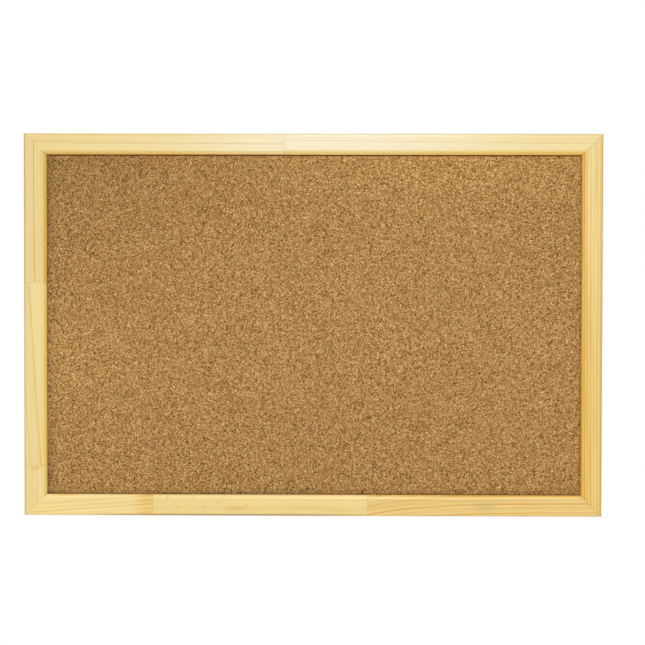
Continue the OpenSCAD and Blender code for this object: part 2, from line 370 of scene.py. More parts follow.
def pine(name, rail, spec):
    """Lacquered pine, cut from a log whose rings run along the rail. l is along the
    rail, u from its outer edge across the face, v from the wall to the face."""
    g = G(name)
    X, Y, Z = g.xyz()
    V = -Y
    L, U = {"top": (X, H - Z), "bottom": (X, Z + 0.0), "left": (Z, X + HW), "right": (Z, HW - X)}[rail]
    seed = spec["seed"]
    squeeze = (RW - WIDE_0) / (RW - WIDE_0 + WIDE)
    if rail == "left":
        U = g.mn(U, WIDE_0) + g.mx(U - WIDE_0, 0.0) * squeeze

    # where the rings lie: q counts millimetres across the grain
    th = math.radians(spec.get("theta", 22))
    wander = g.noise(g.vec(L * (1 / 95.0) + seed, U * (1 / 40.0), V * (1 / 40.0)), 1.0, 2.0, 0.5) - 0.5
    fine_w = g.noise(g.vec(L * (1 / 14.0) + seed, U * 0.35, V * 0.35), 1.0, 2.0, 0.5) - 0.5
    across = U * math.cos(th) + (V - D) * math.sin(th)
    depth = U * math.sin(th) - (V - D) * math.cos(th)
    q = across + depth * depth * (1 / (2.0 * spec.get("radius", 70.0)))
    q = q + wander * spec.get("wander", 2.0) + fine_w * spec.get("fine_w", 0.25)
    if "slope" in spec:
        k, l0 = spec["slope"]
        q = q - (L - l0) * k
    if "bend" in spec:
        amp, lam, l0 = spec["bend"]
        q = q + g.ex((L - l0) * (-1.0 / lam)) * amp
    # grain flows round the knots
    knot_dark = None
    knot_halo = None
    for (kl, ku, kr, ks) in spec.get("knots", []):
        dl, du = (L - kl), (U - ku)
        rr = g.m("SQRT", dl * dl * 0.55 + du * du)
        q = q + g.ex(rr * rr * (-1.0 / (kr * 3.2) ** 2)) * (kr * 0.9) * (1 if ku > 11 else -1)
        rim = g.step(rr + (g.noise(g.vec(L, U, V), 1.1, 2.0) - 0.5) * kr * 1.1, kr * 0.45, kr * 1.15, 1.0, 0.0) * ks
        halo = g.step(rr, kr * 0.8, kr * 3.4, 1.0, 0.0) * ks
        knot_dark = rim if knot_dark is None else g.mx(knot_dark, rim)
        knot_halo = halo if knot_halo is None else g.mx(knot_halo, halo)

    # ring lines: slow earlywood, then a band of latewood with a sharp outer side
    s = spec.get("spacing", 3.0)
    uneven = g.noise(g.vec(q * (1 / 7.0) + seed * 3, 0.0, 0.0), 1.0, 1.0) - 0.5
    ph = q * (1 / s) + uneven * 1.1
    fr = g.m("FRACT", ph)
    kn = g.m("FLOOR", ph)
    rnd = g.white(kn + seed * 7.0)
    late = g.step(fr, 0.30, 0.86) * g.step(fr, 0.90, 1.0, 1.0, 0.0)
    rings = late * (rnd * 0.75 + 0.25) * spec.get("ring", 0.5)
    f2 = g.m("FRACT", ph * 2.7 + 0.3)
    rings = rings + g.step(f2, 0.45, 0.9) * g.step(f2, 0.92, 1.0, 1.0, 0.0) * spec.get("ring", 0.5) * 0.28
    for (q0, w, k) in spec.get("lines", []):
        fade = g.noise(g.vec(L * (1 / 55.0) + q0, seed, 0.0), 1.0, 1.0) * 0.7 + 0.62
        rings = rings + g.step(g.ab(q - q0), w * 0.15, w, 1.0, 0.0) * fade * k
    if "zone" in spec:
        za, zb, zk = spec["zone"]
        rings = rings + g.step(L, za, zb) * zk * (g.noise(g.vec(L * 0.05, q * 1.2, 0.0), 1.0, 2.0) * 0.8 + 0.6)
    if "smear" in spec:
        for (sl, su, rl, ru, k) in spec["smear"]:
            a, b = (L - sl) * (1 / rl), (U - su) * (1 / ru)
            rings = rings + g.ex(-(a * a + b * b)) * k * (g.noise(g.vec(L * 0.12, U * 0.9, V), 1.0, 3.0) * 1.2 + 0.3)

    fibre = g.noise(g.vec(L * (1 / 22.0) + seed, U * 1.7, V * 1.7), 1.0, 4.0, 0.62) - 0.5
    broad = g.noise(g.vec(L * (1 / 120.0), U * 0.09, V * 0.09 + seed), 1.0, 2.0, 0.5) - 0.5
    hair = g.noise(g.vec(L * (1 / 7.0) + seed, U * 6.0, V * 6.0), 1.0, 2.0, 0.5)
    canals = g.step(hair, 0.70, 0.78) * 0.5

    streak = g.noise(g.vec(L * (1 / 90.0) + seed * 5, U * 0.85, V * 0.4), 1.0, 3.0, 0.6) - 0.5
    col = g.mix(g.clamp(rings + fibre * 0.34 + streak * spec.get("streak", 0.45)), lin(spec["early"]), lin(spec["late"]))
    tone = fibre * 0.13 + broad * spec.get("broad", 0.10) + 1.0 - canals * 0.12
    if "gradient" in spec:
        ga, gb, gk = spec["gradient"]
        tone = tone * g.step(L, ga, gb, 1.0, gk)
    col = g.scale(col, tone)
    if knot_dark is not None:
        col = g.mix(knot_halo * 0.34, col, lin((226, 176, 96)))
        col = g.mix(knot_dark * 0.55, col, lin((172, 116, 62)))
    for (sl, su, rl, ru, k) in spec.get("grey", []):
        a, b = (L - sl) * (1 / rl), (U - su) * (1 / ru)
        col = g.mix(g.ex(-(a * a + b * b)) * k, col, lin((196, 172, 130)))

    # the inner edge and the outer arris: painted shade, darker and more orange where the round-overs turn away from
    # the lamps, with painted bounce light from the cork on the inner edge
    in0, in1 = (RW - 5.8, RW - 1.8) if rail == "top" else (RW - 4.3, RW - 0.4)
    in0, in1 = in0 - spec.get("deep", 0.0), in1 - spec.get("deep", 0.0)
    # inner: painted shade and painted cork bounce light on the inner round-over
    inner = g.step(U, in0, in1) * g.step(V, VC - 2.0, VC - 0.2)
    col = g.mix(inner * spec.get("inner", 0.6), col, g.gain(col, (0.97, 0.84, 0.43)))
    # outer: painted shade on the outer round-over, weak or absent on the top rail where it faces the lamp
    outer = g.step(U, 0.1, 2.6, 1.0, 0.0) * g.step(V, D - 3.4, D - 1.6)
    col = g.mix(outer * spec.get("outer", 0.5), col, g.gain(col, (0.95, 0.83, 0.54)))
    # under: painted shade at the foot of the lip's wall, widest under the top rail
    under = g.step(V, VC + 0.1, VC + (1.5 if rail == "top" else 0.6), 1.0, 0.0) * g.step(U, RW - 1.2, RW - 0.3)
    col = g.mix(under * 0.42, col, lin((172, 108, 38)))
    if rail == "bottom":
        # painted light: the bottom rail's inner edge, which faces up to the lamp, made paler
        lip = g.step(U, RW - 3.6, RW - 1.4) * g.step(V, VC + 0.2, VC + 1.4)
        col = g.mix(lip, col, g.gain(col, (1.16, 1.22, 1.42)))
    if rail == "top":
        # painted light: the underside of the top rail's lip made brighter and more orange
        lip = g.step(U, RW - 1.7, RW - 0.5) * g.step(V, VC - 0.1, VC + 0.2)
        col = g.mix(lip, col, g.gain(col, (1.38, 1.12, 0.92)))
    # warm and pale: stretches along a rail tinted warmer and paler; on the top rail, pale towards the middle and warm
    # at both ends, they are a painted reflection of the lamp on the lacquer
    for (w0, w1, wk) in spec.get("warm", []):
        col = g.mix(g.step(L, w0, w1) * wk, col, g.gain(col, (0.97, 0.91, 0.66)))
    for (w0, w1, wk) in spec.get("pale", []):
        col = g.mix(g.step(L, w0, w1) * wk, col, g.gain(col, (1.02, 1.08, 1.34)))
    # band: painted shade and bounce light, a darker, more orange stripe running along the face towards the inner edge
    if "band" in spec:
        b0, b1, bk = spec["band"]
        band = g.step(U, b0 - 1.2, b0 + 1.2) * g.step(U, b1 - 1.0, b1 + 1.0, 1.0, 0.0) * g.step(V, D - 5.0, D - 4.0)
        col = g.mix(band * bk, col, g.gain(col, (0.98, 0.90, 0.58)))
    # painted shade along the bottom rail's lower outer edge, which faces down away from the lamps; strongest between
    # s0 and s1
    if "painted_edge_shade" in spec:
        s0, s1, sk = spec["painted_edge_shade"]
        painted_edge_shade = g.step(U, 0.7, 3.2, 1.0, 0.0) * g.step(V, D - 8.0, D - 2.0)
        painted_edge_shade = painted_edge_shade * g.step(L, s0 - 60.0, s0) * g.step(L, s1, s1 + 90.0, 1.0, 0.25)
        col = g.mix(painted_edge_shade * sk, col, lin((150, 101, 50)))

    # glue lines of the finger joints
    for (l0, sign) in spec.get("joints", []):
        p = g.mx((V_SH - V) * (1 / F_H), 0.0)
        pp = g.m("PINGPONG", p, 1.0)
        a = 0.5 * F_FLAT / F_H
        f = g.m("MULTIPLY", (pp - a) * (1 / (1 - 2 * a)), 1.0, clamp=True) * F_L
        slope = g.step(V, V_SH - 0.3, V_SH, 0.19, 1.0)
        dj = g.ab(L - (f * sign + l0)) * slope
        col = g.mix(g.step(dj, 0.05, 0.55, 1.0, 0.0) * spec.get("glue", 0.20), col, lin((190, 136, 70)))
        col = g.scale(col, 1.0 - g.step(dj, 0.4, 5.0, 1.0, 0.0) * 0.02)
    # fine dark line of each mitre
    if rail in ("top", "bottom"):
        e = L + HW
        dm = g.mn(g.mn(e, WIDE_0) + g.mx(e - WIDE_0, 0.0) * squeeze, HW - L) - U
    else:
        dm = g.mn(L, H - L) - U
    corner = g.step(X, -50.0, 50.0) * 0.12 + g.step(Z, 230.0, 160.0) * 0.16 + 0.08
    col = g.mix(g.step(g.ab(dm), 0.03, 0.40, 1.0, 0.0) * corner, col, lin((150, 104, 56)))
    col = g.gain(col, spec.get("gain", (1.0, 1.0, 1.0)))

    # raw, unlacquered wood behind and in the rebate
    raw = g.step(V, 0.05, 0.5, 1.0, 0.0)
    raw = g.mx(raw, g.step(V, VC - 0.2, VC + 0.1, 1.0, 0.0) * g.step(U, UW - 1.0, UW - 0.2))
    saw = g.noise(g.vec(L * 0.9, U * 0.06, 0.0), 1.0, 2.0) - 0.5
    col = g.mix(raw * 0.6, col, g.scale(g.mix(0.5, col, lin((214, 184, 138))), saw * 0.10 + 0.97))

    g.set("Base Color", col)
    g.set("Roughness", g.mx(raw * 0.78, 0.42 + fibre * 0.12 + rings * 0.05))
    g.set("Specular IOR Level", 0.32)
    g.set("Coat Weight", (1.0 - raw) * 0.50)
    g.set("Coat Roughness", 0.15 + hair * 0.06)
    g.set("Coat IOR", 1.48)
    wave = g.noise(g.vec(L * (1 / 28.0) + seed, U * 0.16, V * 0.16), 1.0, 2.0) - 0.5
    g.bump(fibre * 0.020 + rings * 0.010 + wave * 0.06 - canals * 0.01 + saw * raw * 0.10, 1.0)
    return g.mat


def offset_loop(pts, d):
    """A closed outline moved inwards by d along its corner normals."""
    n = len(pts)
    area = sum(pts[i][0] * pts[(i + 1) % n][1] - pts[(i + 1) % n][0] * pts[i][1] for i in range(n)) / 2
    sg = 1 if area > 0 else -1
    out = []
    for i in range(n):
        a, b, c = np.array(pts[i - 1]), np.array(pts[i]), np.array(pts[(i + 1) % n])
        e1, e2 = b - a, c - b
        e1, e2 = e1 / (np.linalg.norm(e1) + 1e-12), e2 / (np.linalg.norm(e2) + 1e-12)
        n1, n2 = np.array([-e1[1], e1[0]]) * sg, np.array([-e2[1], e2[0]]) * sg
        m = n1 + n2
        k = max(m @ m / 2, 0.3)
        out.append(tuple(b + m / k * d))
    return out


LEVELS = sorted({0.3, V_SH} | {V_SH - i * F_H + sg * F_FLAT / 2 for i in range(1, F_N) for sg in (-1, 1)}
                | {V_SH - F_FLAT / 2, V_SH - F_N * F_H + F_FLAT / 2})
LOW = [v for v in LEVELS if v < VC - 0.01]


def section():
    """The rail's outline as (u, v) points with a tag: o outer side, w rebate wall, l lip wall."""
    e = 0.3
    pts = [((e, 0.0), "b")]
    pts += [((0.0, v), "o") for v in LOW] + [((0.0, VC), "o")]
    pts += [((0.0, v), "o") for v in LEVELS if v > VC + 0.01] + [((0.0, D - R_OUT), "f")]
    for i in range(1, 12):
        a = math.radians(90 * i / 12)
        pts.append(((R_OUT - R_OUT * math.cos(a), D - R_OUT + R_OUT * math.sin(a)), "f"))
    for i in range(0, 9):
        pts.append(((R_OUT + (RW - R_IN - R_OUT) * i / 8, D), "f"))
    for i in range(1, 17):
        a = math.radians(90 * i / 16)
        pts.append(((RW - R_IN + R_IN * math.sin(a), D - R_IN + R_IN * math.cos(a)), "f"))
    pts += [((RW, v), "l") for v in LEVELS[::-1] if VC + 0.41 < v < D - R_IN - 0.01]
    for i in range(0, 5):
        a = math.radians(90 * i / 4)
        pts.append(((RW - 0.4 + 0.4 * math.cos(a), VC + 0.4 - 0.4 * math.sin(a)), "l"))
    pts.append(((UW, VC), "w"))
    pts += [((UW, v), "w") for v in LOW[::-1]]
    pts.append(((UW - e, 0.0), "b"))
    return pts


def value_noise(seed, n):
    rng = np.random.RandomState(seed)
    return rng.uniform(-1, 1, n)


def ripple(l, u, v, seed):
    """A few hundredths of a millimetre of planing and sanding unevenness."""
    rng = np.random.RandomState(seed)
    s = 0.0
    for _ in range(6):
        kl, ku, kv = rng.uniform(0.02, 0.16), rng.uniform(0.05, 0.5), rng.uniform(0.05, 0.5)
        s += math.sin(kl * l + ku * u + kv * v + rng.uniform(0, 6.3)) / 6
    return 0.035 * s


def rail_block(name, rail, a, b, end_a, end_b, fdir, seed):
    """One block from l = a to l = b. An end is 'mitre' or 'finger'; fdir is the way fingers point."""
    place = RAILS[rail][1]
    sec = section()
    uv = [p for p, _ in sec]
    tag = [t for _, t in sec]
    n = len(uv)
    inset = offset_loop(uv, 0.16)
    area_sign = 1

    def end_l(kind, l, u, v, side):
        if kind == "mitre":
            return l + (u if side < 0 else -u) + (0.012 if side < 0 else -0.012)
        return l + fdir * finger(v)

    la = [end_l(end_a, a, u, v, -1) for u, v in uv]
    lb = [end_l(end_b, b, u, v, 1) for u, v in uv]
    first, last = max(la) + 3.0, min(lb) - 3.0
    mids = list(np.linspace(first, last, max(2, int((last - first) / 9.0) + 1)))
    rings = []
    ch = 0.22
    if end_a == "mitre":
        rings.append([(la[i],) + tuple(inset[i]) for i in range(n)])
        rings.append([(la[i] + ch,) + uv[i] for i in range(n)])
    else:
        rings.append([(la[i],) + uv[i] for i in range(n)])
    for m in mids:
        ring = []
        for i, (u, v) in enumerate(uv):
            if tag[i] == "f" and D - R_IN + 0.2 < v:
                nu = 0.0 if (R_OUT < u < RW - R_IN) else (-0.6 if u <= R_OUT else 0.6)
                nv = 1.0 if nu == 0 else 0.8
                d = ripple(m, u, v, seed) * min(1.0, (m - first + 4) / 20, (last - m + 4) / 20)
                ring.append((m, u + nu * d, v + nv * d - 0.02))
            else:
                ring.append((m, u, v))
        rings.append(ring)
    if end_b == "mitre":
        rings.append([(lb[i] - ch,) + uv[i] for i in range(n)])
        rings.append([(lb[i],) + tuple(inset[i]) for i in range(n)])
    else:
        rings.append([(lb[i],) + uv[i] for i in range(n)])
    verts = [place(l, u, v) for ring in rings for (l, u, v) in ring]
    faces = []
    for k in range(len(rings) - 1):
        for i in range(n):
            j = (i + 1) % n
            faces.append((k * n + i, k * n + j, (k + 1) * n + j, (k + 1) * n + i))

    def cap(base, kind):
        if kind == "mitre":
            return [tuple(base + i for i in range(n))]
        out = []
        o = {round(uv[i][1], 4): base + i for i in range(n) if tag[i] == "o"}
        w = {round(uv[i][1], 4): base + i for i in range(n) if tag[i] == "w"}
        lv = sorted(w)
        out.append((base + 0, o[lv[0]], w[lv[0]], base + n - 1))
        for p, r in zip(lv[:-1], lv[1:]):
            out.append((o[p], o[r], w[r], w[p]))
        # above the rebate the section is as wide as the rail
        ups = [v for v in sorted(o) if v >= VC - 1e-6]
        lips = [i for i in range(n) if tag[i] == "l"]
        prev_o, prev_l = o[ups[0]], [base + i for i in lips]
        low_lip = [i for i in lips if uv[i][1] <= VC + 0.41]
        lip_at = {round(uv[i][1], 4): base + i for i in lips if uv[i][1] > VC + 0.41}
        chain = [base + i for i in low_lip]          # from v = VC+0.4 down to VC
        level = [v for v in ups[1:] if v in lip_at]
        if level:
            first_up = level[0]
            out.append(tuple([prev_o, o[first_up], lip_at[first_up]] + chain + [w[lv[-1]]]))
            for p, r in zip(level[:-1], level[1:]):
                out.append((o[p], o[r], lip_at[r], lip_at[p]))
            top = level[-1]
            i0 = o[top] - base
            i1 = lip_at[top] - base
            out.append(tuple(base + i for i in range(i0, i1 + 1)))
        else:
            i0 = o[ups[0]] - base
            i1 = chain[-1] - base
            out.append(tuple([base + i for i in range(i0, i1 + 1)] + [w[lv[-1]]]))
        return out

    faces += cap(0, end_a)
    faces += cap((len(rings) - 1) * n, end_b)
    ob = new_object(name, verts, faces, 28)
    return ob


# ------------------------------------------------------------------ fixings, as outlines

VN = [UW - 7.5, UW - 2.0]
VN_L, VN_T, VN_H = 4.0, 0.5, 8.0
PT_W, PT_IN, PT_OUT, PT_T = 9.0, 6.0, 8.0, 0.5
PX, PZ = (-210, -80, 80, 210), (-120, 0, 120)
CORNERS = [(-1, -1), (1, -1), (1, 1), (-1, 1)]


def v_outline(u, grow):
    g, t, l = grow, VN_T, VN_L
    return [(u + g, u + g), (u - l - g, u + g), (u - l - g, u - t - g), (u - t - g, u - t - g),
            (u - t - g, u - l - g), (u + g, u - l - g)]


def v_nail_prism(sx, sz, u, grow, y0, y1):
    def place(a, b, h):
        return (sx * (HW - a), h, b if sz < 0 else H - b)
    return prism("v", v_outline(u, grow), y0, y1, place)


def point_outline(grow):
    g, w = grow, PT_W / 2
    return [(0, -PT_IN - g), (w + g, -PT_IN + 3 - g * 0.4), (w + g, PT_OUT - 1.5), (w - 1.5, PT_OUT + g),
            (-w + 1.5, PT_OUT + g), (-w - g, PT_OUT - 1.5), (-w - g, -PT_IN + 3 - g * 0.4)]


def point_prism(rail, at, grow, lo=None, hi=None):
    lo = -VB if lo is None else lo
    hi = -VB + PT_T if hi is None else hi
    place = RAILS[rail][1]
    return prism("p", [(a, b + UW) for a, b in point_outline(grow)], lo, hi,
                 lambda a, b, h: place(at + a, b, -h))


POINTS = [("bottom", x) for x in PX] + [("top", x) for x in PX] + \
         [("left", H / 2 + z) for z in PZ] + [("right", H / 2 + z) for z in PZ]

ring_lo, ring_hi = box_mm("d_ring_left")
HX = abs((ring_lo[0] + ring_hi[0]) / 2)
EYE_Y = (ring_lo[1] + ring_hi[1]) / 2
HZ = ring_lo[2] + 1.0
SCREW_Z = HZ - 13.5


def cutters(rail, a, b, end_a, end_b):
    parts = []
    for sx, sz in CORNERS:
        here = {"top": sz > 0, "bottom": sz < 0, "left": sx < 0, "right": sx > 0}[rail]
        if rail in ("top", "bottom"):
            here = here and ((sx < 0 and end_a == "mitre") or (sx > 0 and end_b == "mitre"))
        else:
            here = here and ((sz < 0 and end_a == "mitre") or (sz > 0 and end_b == "mitre"))
        if here:
            for u in VN:
                parts.append(v_nail_prism(sx, sz, u, 0.05, -VN_H - 0.05, 1.0))
    for r, at in POINTS:
        if r == rail and a < at < b:
            parts.append(point_prism(r, at, 0.04, -VB - 0.03, -VB + PT_T + 0.03))
    if rail in ("left", "right") and a < SCREW_Z < b:
        s = -1 if rail == "left" else 1
        parts.append(lathe([(0, 1.0), (1.52, 1.0), (1.52, -9.0), (0.32, -12.05), (0, -12.05)], 40,
                           lambda p, r_, h: (s * HX + p, h, SCREW_Z + r_)))
    return parts


# name, rail, from, to, ends, finger direction, look
W = {
    "top_rail_left_block": ("top", -HW, X_TOP, "mitre", "finger", -1, dict(
        seed=1.3, early=(243, 224, 169), late=(228, 184, 98), spacing=3.1, ring=0.32, theta=12, radius=120,
        wander=0.7, bend=(2.6, 80.0, -HW), lines=[(10.4, 0.75, 0.62), (7.7, 0.5, 0.20), (3.4, 0.6, 0.25)],
        joints=[(X_TOP, -1)], inner=0.7, outer=0.2, gain=(0.985, 0.95, 0.825), warm=[(-170.0, -260.0, 0.35)], pale=[(-190.0, -60.0, 1.0), (-130.0, -35.0, 0.50)])),
    "top_rail_right_block": ("top", X_TOP, HW, "finger", "mitre", -1, dict(
        seed=4.1, early=(247, 233, 196), late=(236, 196, 112), spacing=5.5, ring=0.14, theta=14, radius=140,
        wander=0.6, slope=(0.009, 287.0), lines=[(1.6, 0.6, 0.22), (4.0, 0.55, 0.20), (6.6, 0.6, 0.24), (9.7, 0.7, 0.42),
                                                 (0.2, 0.5, 0.4)],
        joints=[(X_TOP, -1)], inner=0.95, deep=1.0, outer=0.0, gain=(0.97, 0.975, 0.975), warm=[(40.0, 250.0, 1.0), (140.0, 230.0, 0.28)])),
    "bottom_rail_left_block": ("bottom", -HW, X_BOT_A, "mitre", "finger", 1, dict(
        seed=7.7, early=(244, 220, 154), late=(226, 174, 74), spacing=3.6, ring=0.32, theta=25, radius=60,
        wander=1.0, slope=(0.068, -289.0), lines=[(11.2, 0.8, 0.45), (3.4, 0.8, 0.45), (7.2, 0.6, 0.2)],
        zone=(-192.0, -174.0, 0.40), painted_edge_shade=(-190.0, -10.0, 0.6), inner=0.3, joints=[(X_BOT_A, 1)], gain=(1.012, 1.012, 0.965))),
    "bottom_rail_middle_block": ("bottom", X_BOT_A, X_BOT_B, "finger", "finger", 1, dict(
        seed=2.9, early=(241, 217, 148), late=(228, 184, 98), spacing=6.0, ring=0.20, theta=62, radius=45,
        wander=3.0, knots=[(-150.8, 19.2, 0.85, 0.75), (-123.8, 17.0, 0.85, 0.40), (-140.4, 8.7, 0.9, 0.30),
                           (-112.4, 8.8, 1.1, 0.34), (-97.8, 14.5, 0.9, 0.45), (-87.0, 4.7, 0.7, 0.5),
                           (-69.3, 10.5, 0.75, 0.62)],
        smear=[(-79.0, 7.9, 9.0, 2.4, 0.75), (-10.0, 9.0, 26.0, 1.6, 0.35), (28.0, 6.0, 22.0, 1.4, 0.35)],
        painted_edge_shade=(-190.0, -10.0, 0.75), inner=0.2, joints=[(X_BOT_A, 1), (X_BOT_B, 1)], gain=(0.98, 0.955, 0.87))),
    "bottom_rail_right_block": ("bottom", X_BOT_B, HW, "finger", "mitre", 1, dict(
        seed=9.2, early=(245, 219, 158), late=(221, 156, 46), spacing=4.2, ring=0.50, streak=0.8, theta=28, radius=60,
        wander=1.1, bend=(9.6, 60.0, 69.0), lines=[(4.5, 1.1, 0.4), (9.0, 1.2, 0.4), (13.2, 1.2, 0.5),
                                                   (17.4, 1.2, 0.4), (21.4, 1.3, 0.5)],
        painted_edge_shade=(-190.0, -10.0, 0.2), band=(20.3, 23.0, 0.5), grey=[(180.0, 10.5, 11.0, 4.5, 0.35)], joints=[(X_BOT_B, 1)], gain=(0.942, 0.905, 0.70))),
    "left_rail_upper_block": ("left", Z_LEFT_A, H, "finger", "mitre", -1, dict(
        seed=5.6, early=(241, 221, 165), late=(224, 172, 74), spacing=3.0, ring=0.42, band=(16.6, 23.5, 0.42), theta=15, radius=90,
        wander=0.8, slope=(-0.008, 320.0), lines=[(10.4, 0.85, 0.85), (19.2, 1.0, 0.5), (15.0, 0.5, 0.25)], inner=0.85,
        joints=[(Z_LEFT_A, -1)], gain=(0.975, 0.947, 0.765))),
    "left_rail_middle_block": ("left", Z_LEFT_B, Z_LEFT_A, "finger", "finger", -1, dict(
        seed=8.8, early=(242, 221, 159), late=(228, 178, 84), spacing=4.6, ring=0.28, band=(17.0, 23.5, 0.34), theta=20, radius=70,
        wander=1.0, slope=(-0.062, 243.0), lines=[(4.8, 0.9, 0.58), (1.0, 0.6, 0.22), (16.0, 0.7, 0.18)], inner=0.85,
        joints=[(Z_LEFT_A, -1), (Z_LEFT_B, -1)], gain=(0.987, 0.965, 0.86))),
    "left_rail_lower_block": ("left", 0.0, Z_LEFT_B, "mitre", "finger", -1, dict(
        seed=3.4, early=(243, 222, 163), late=(230, 182, 88), spacing=2.2, ring=0.50, band=(17.5, 23.5, 0.30), theta=20, radius=70,
        wander=0.8, lines=[(6.0, 0.5, 0.3), (12.0, 0.6, 0.3)], joints=[(Z_LEFT_B, -1)], glue=0.16,
        smear=[(49.0, 11.5, 3.0, 4.0, 0.5)], gain=(0.987, 0.968, 0.86))),
    "right_rail": ("right", 0.0, H, "mitre", "mitre", 1, dict(
        seed=6.5, early=(247, 229, 180), late=(224, 164, 44), spacing=3.1, ring=0.80, streak=1.5, theta=18, radius=110,
        wander=0.5, slope=(0.004, 200.0), lines=[(2.0, 0.5, 0.35), (12.5, 0.6, 0.3), (16.4, 0.7, 0.45),
                                                 (18.2, 0.7, 0.35)], band=(15.0, 20.5, 0.75), inner=0.9, outer=0.9, gain=(0.952, 0.875, 0.565), warm=[(320.0, 150.0, 0.75)], pale=[(300.0, 390.0, 0.4), (110.0, 30.0, 0.35)])),
}

SLOTS = {"top_rail_left_block": "pine_cream", "top_rail_right_block": "pine_pale", "bottom_rail_left_block": "pine_warm",
         "bottom_rail_middle_block": "pine_cream", "bottom_rail_right_block": "pine_golden",
         "left_rail_upper_block": "pine_warm", "left_rail_middle_block": "pine_cream",
         "left_rail_lower_block": "pine_pale", "right_rail": "pine_golden"}


def finish_piece(ob, mat, body, slot, *nodes):
    ob.data.materials.clear()
    ob.data.materials.append(mat)
    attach(ob, body)
    if nodes:
        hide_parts(*nodes)


def widen_left(ob):
    """The left rail's lip reaches a little further in than the others'; the rails it
    meets follow it, easing back to their own line over the next 30 mm."""
    for v in ob.data.vertices:
        u = v.co.x / MM + HW
        if WIDE_0 < u < RW + 30.0:
            t = (u - WIDE_0) / (RW - WIDE_0) if u <= RW else 1.0 - (u - RW) / 30.0
            v.co.x += WIDE * t * MM
    ob.data.update()


for i, (node, (rail, a, b, ea, eb, fdir, spec)) in enumerate(W.items()):
    ob = rail_block("pine_" + node, rail, a, b, ea, eb, fdir, 100 + i)
    parts = cutters(rail, a, b, ea, eb)
    if parts:
        c = joined("cutter", parts)
        cut(ob, c, 28)
        bpy.data.objects.remove(c)
    if rail == "left" or a == -HW:
        widen_left(ob)
    finish_piece(ob, pine("pine_" + node, rail, spec), "board", SLOTS[node], node)


# ------------------------------------------------------------------ cork


